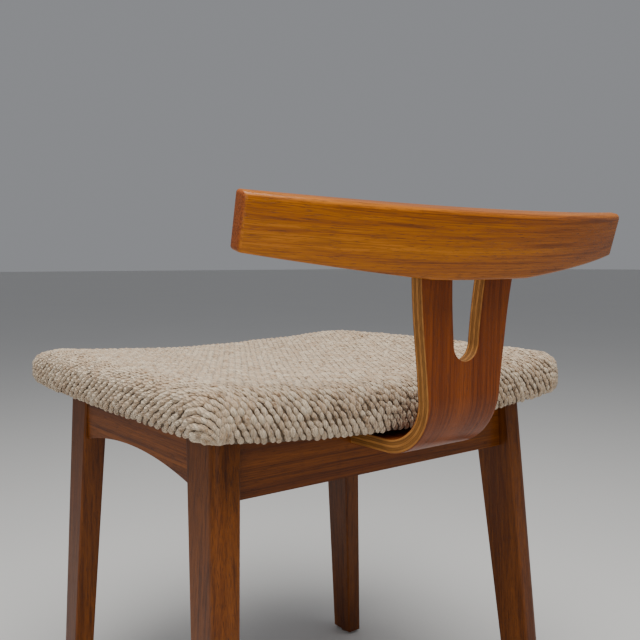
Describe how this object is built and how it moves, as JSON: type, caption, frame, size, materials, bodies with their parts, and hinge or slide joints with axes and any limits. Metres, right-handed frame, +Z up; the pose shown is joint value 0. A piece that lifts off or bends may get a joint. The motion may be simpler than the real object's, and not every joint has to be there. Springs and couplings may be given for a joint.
{
  "type": "dining chair",
  "caption": "Low-backed wooden dining chair: splayed legs, railed frame, upholstered saddle seat, and a curved back rail on one bent laminated splat with a slot.",
  "frame": {"origin": "on the floor, under the middle of the chair's box", "axes": "+Z up, +X to the sitter's left, the sitter faces -Y"},
  "size_m": [0.496, 0.5672, 0.6334],
  "materials": {
    "frame_teak": "satin oil, straight brown grain",
    "back_teak": "satin lacquer, golden grain with dark streaks",
    "core_plies": "laminated core, dark glue lines",
    "face_veneer": "satin lacquered veneer, grain up the splat",
    "plug_teak": "satin",
    "beech": "plain planed, unfinished",
    "seat_plywood": "plain moulded plywood",
    "seat_foam": "open-cell foam",
    "wool_weave": "chunky oatmeal wool, looped rows with brown flecks",
    "dust_cloth": "thin black non-woven cloth",
    "zinc_steel": "zinc plated",
    "glide_plastic": "matt"
  },
  "bodies": {
    "root": {"back_rail": "back_teak", "back_rail_screws": "zinc_steel", "corner_block_screws": "zinc_steel", "cover_staples": "zinc_steel", "foot_glides": "glide_plastic", "front_corner_block_left": "beech", "front_corner_block_right": "beech", "front_leg_left": "frame_teak", "front_leg_right": "frame_teak", "front_rail": "frame_teak", "rail_dowels": "beech", "rear_corner_block_left": "beech", "rear_corner_block_right": "beech", "rear_leg_left": "frame_teak", "rear_leg_right": "frame_teak", "rear_rail": "frame_teak", "seat_cover": "wool_weave", "seat_dust_cloth": "dust_cloth", "seat_fixing_screws": "zinc_steel", "seat_foam": "seat_foam", "seat_shell": "seat_plywood", "side_rail_left": "frame_teak", "side_rail_right": "frame_teak", "splat_core": "core_plies", "splat_front_ply": "face_veneer", "splat_rail": "beech", "splat_rail_screws": "zinc_steel", "splat_rear_ply": "face_veneer", "splat_screw_plugs": "plug_teak"}
  },
  "joints": []
}
